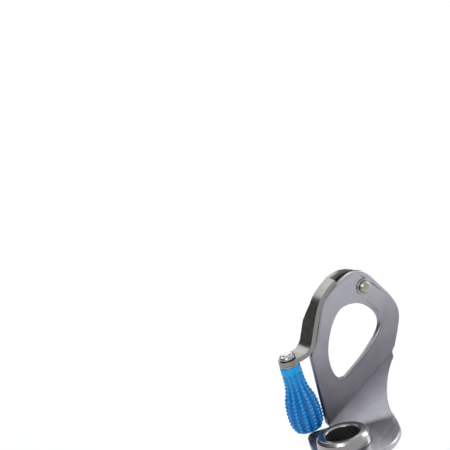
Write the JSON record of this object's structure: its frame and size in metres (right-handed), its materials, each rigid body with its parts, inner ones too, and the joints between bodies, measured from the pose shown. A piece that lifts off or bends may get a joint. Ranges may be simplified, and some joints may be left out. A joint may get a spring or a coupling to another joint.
{
  "type": "ice screw",
  "caption": "Tubular ice screw: threaded hollow shank, bent steel hanger with a large clip-in eye, and a folding crank arm with a spinning knob.",
  "frame": {"origin": "the crown of the hanger's eye, in the middle of the plate's thickness, where a carabiner carries the screw", "axes": "+Z along the tube from its teeth to its head, +Y out of the back of the eye plate, +X from the knob to the eye"},
  "size_m": [0.0681, 0.0491, 0.208],
  "materials": {
    "hanger_steel": "satin, blasted",
    "collar_steel": "turned, polished rim",
    "tube_steel": "turned",
    "arm_steel": "satin",
    "rivet_steel": "satin",
    "washer_steel": "plain",
    "axle_steel": "polished",
    "blue_plastic": "gloss, moulded beads"
  },
  "bodies": {
    "screw": {"tube": "tube_steel", "head_collar": "collar_steel", "hanger_plate": "hanger_steel", "pivot_rivet": "rivet_steel", "pivot_front_washer": "washer_steel", "pivot_spring_washer": "washer_steel", "pivot_back_washer": "washer_steel"},
    "crank": {"crank_arm": "arm_steel", "knob_axle": "axle_steel", "knob_top_washer": "washer_steel", "knob_end_washer": "washer_steel"},
    "knob": {"knob": "blue_plastic", "knob_bushing": "washer_steel"}
  },
  "joints": [
    {"name": "crank_fold", "type": "hinge", "parent": "screw", "child": "crank", "pos_m": [0.0085, 0, 0.0048], "axis": [0, 1, 0], "range_deg": [0, 180]},
    {"name": "knob_spin", "type": "hinge", "parent": "crank", "child": "knob", "pos_m": [-0.0345, 0.0027, -0.012], "axis": [0.0576, 0, -0.9983], "continuous": true}
  ]
}
